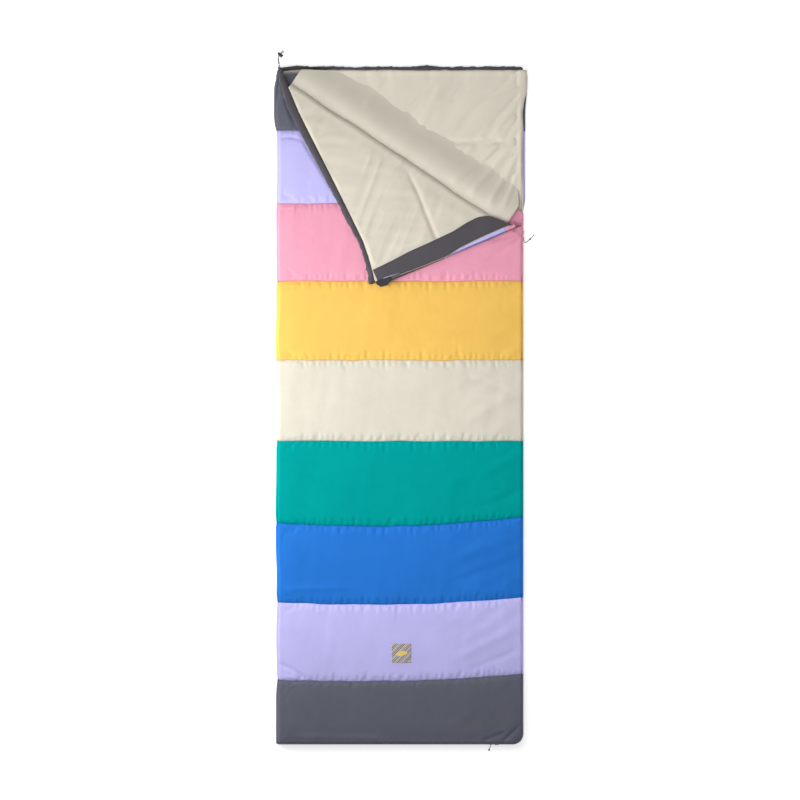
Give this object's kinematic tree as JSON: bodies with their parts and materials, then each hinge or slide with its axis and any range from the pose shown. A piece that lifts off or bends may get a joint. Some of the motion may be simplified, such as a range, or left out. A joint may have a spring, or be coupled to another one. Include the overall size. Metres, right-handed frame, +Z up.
{
  "type": "camp quilt",
  "caption": "Rectangular padded camp quilt with colour-striped shell, zip along one side and the foot, head corner folded back.",
  "frame": {"origin": "centre of the quilt's plan, on the ground it lies on", "axes": "+Y towards the head, +X towards the zip side, +Z up"},
  "size_m": [0.8404, 2.2868, 0.0799],
  "materials": {
    "charcoal_shell": "fine woven ripstop polyester, charcoal",
    "lilac_shell": "fine woven ripstop polyester, lilac",
    "blue_shell": "fine woven ripstop polyester, blue",
    "green_shell": "fine woven ripstop polyester, sea green",
    "ecru_shell": "fine woven ripstop polyester, ecru",
    "yellow_shell": "fine woven ripstop polyester, warm yellow",
    "pink_shell": "fine woven ripstop polyester, pink",
    "lining": "soft brushed polyester lining, ecru",
    "padding": "hollow-fibre wadding, white",
    "facing": "plain woven tape and casing cloth, charcoal",
    "zip_tape": "knitted zip tape, near black",
    "zip_coil": "nylon coil, near black",
    "metal": "die-cast zinc, dark painted",
    "cord": "braided polyester cord, black",
    "patch": "woven patch with diagonal stripes",
    "hook_pad": "hook-and-loop tape, black",
    "lock_plastic": "moulded nylon, black"
  },
  "bodies": {
    "back_quilt": {"back_panel_charcoal_foot": "charcoal_shell", "back_panel_lilac_foot": "lilac_shell", "back_panel_blue": "blue_shell", "back_panel_green": "green_shell", "back_panel_ecru": "ecru_shell", "back_panel_yellow": "yellow_shell", "back_panel_pink": "pink_shell", "back_panel_lilac_head": "lilac_shell", "back_panel_charcoal_head": "charcoal_shell", "back_padding": "padding", "back_lining": "lining", "back_head_hem": "facing", "side_seam": "charcoal_shell", "draft_tube": "lining", "back_zip_tape": "zip_tape", "back_zip_coil": "zip_coil", "zip_head_stop": "metal", "zip_foot_box": "metal", "loop_patch": "hook_pad", "drawcord": "cord"},
    "front_quilt": {"front_panel_charcoal_foot": "charcoal_shell", "front_panel_lilac_foot": "lilac_shell", "front_panel_blue": "blue_shell", "front_panel_green": "green_shell", "front_panel_ecru": "ecru_shell", "front_panel_yellow": "yellow_shell", "front_panel_pink": "pink_shell", "front_panel_lilac_head": "lilac_shell", "front_panel_charcoal_head": "charcoal_shell", "front_padding": "padding", "front_lining": "lining", "front_zip_tape": "zip_tape", "front_zip_coil_side": "zip_coil", "front_zip_coil_foot": "zip_coil", "front_facing": "facing", "patch": "patch"},
    "flap": {"flap_panel_pink": "pink_shell", "flap_panel_lilac_head": "lilac_shell", "flap_panel_charcoal_head": "charcoal_shell", "flap_padding": "padding", "flap_lining": "lining", "flap_head_hem": "facing", "flap_zip_tape": "zip_tape", "flap_zip_coil": "zip_coil", "flap_facing": "facing"},
    "closure_tab": {"closure_tab": "facing", "tab_hook_pad": "hook_pad"},
    "top_slider": {"top_slider": "metal"},
    "top_puller": {"top_puller": "metal", "top_pull_cord": "cord", "top_cord_knot": "cord", "top_cord_tail": "cord"},
    "foot_slider": {"foot_slider": "metal"},
    "foot_puller": {"foot_puller": "metal", "foot_pull_cord": "cord", "foot_cord_knot": "cord"},
    "cord_lock": {"lock_barrel": "lock_plastic", "lock_spring": "metal"},
    "lock_button": {"lock_button": "lock_plastic"}
  },
  "joints": [
    {"name": "front_open", "type": "hinge", "parent": "back_quilt", "child": "front_quilt", "pos_m": [-0.4, 0, 0.0266], "axis": [0, -1, 0], "range_deg": [0, 180]},
    {"name": "crease_fold", "type": "hinge", "parent": "front_quilt", "child": "flap", "pos_m": [-0.375, 1.1, 0.0535], "axis": [-0.8329, 0.5535, 0], "range_deg": [0, 180]},
    {"name": "tab_fold", "type": "hinge", "parent": "flap", "child": "closure_tab", "pos_m": [-0.07262, 0.43197, 0.07895], "axis": [0.3874, -0.9219, 0], "range_deg": [0, 180]},
    {"name": "top_slide", "type": "slide", "parent": "back_quilt", "child": "top_slider", "axis": [0, 1, 0], "range_m": [-1.615, 0.485]},
    {"name": "top_puller_swing", "type": "hinge", "parent": "top_slider", "child": "top_puller", "pos_m": [0.4018, 0.565, 0.0266], "axis": [0, 0, 1], "range_deg": [0, 90]},
    {"name": "foot_slide", "type": "slide", "parent": "back_quilt", "child": "foot_slider", "axis": [1, 0, 0], "range_m": [-0.665, 0.035]},
    {"name": "foot_puller_swing", "type": "hinge", "parent": "foot_slider", "child": "foot_puller", "pos_m": [0.315, -1.1018, 0.0266], "axis": [0, 0, 1], "range_deg": [0, 90]},
    {"name": "cord_lock_slide", "type": "slide", "parent": "back_quilt", "child": "cord_lock", "axis": [0.6428, 0.766, 0], "range_m": [-0.003, 0.003]},
    {"name": "lock_button_press", "type": "slide", "parent": "cord_lock", "child": "lock_button", "axis": [0.766, -0.6428, 0], "range_m": [0, 0.0025], "stiffness_N_per_m": 400, "springref_m": -0.001, "deforming": ["lock_spring"]}
  ]
}
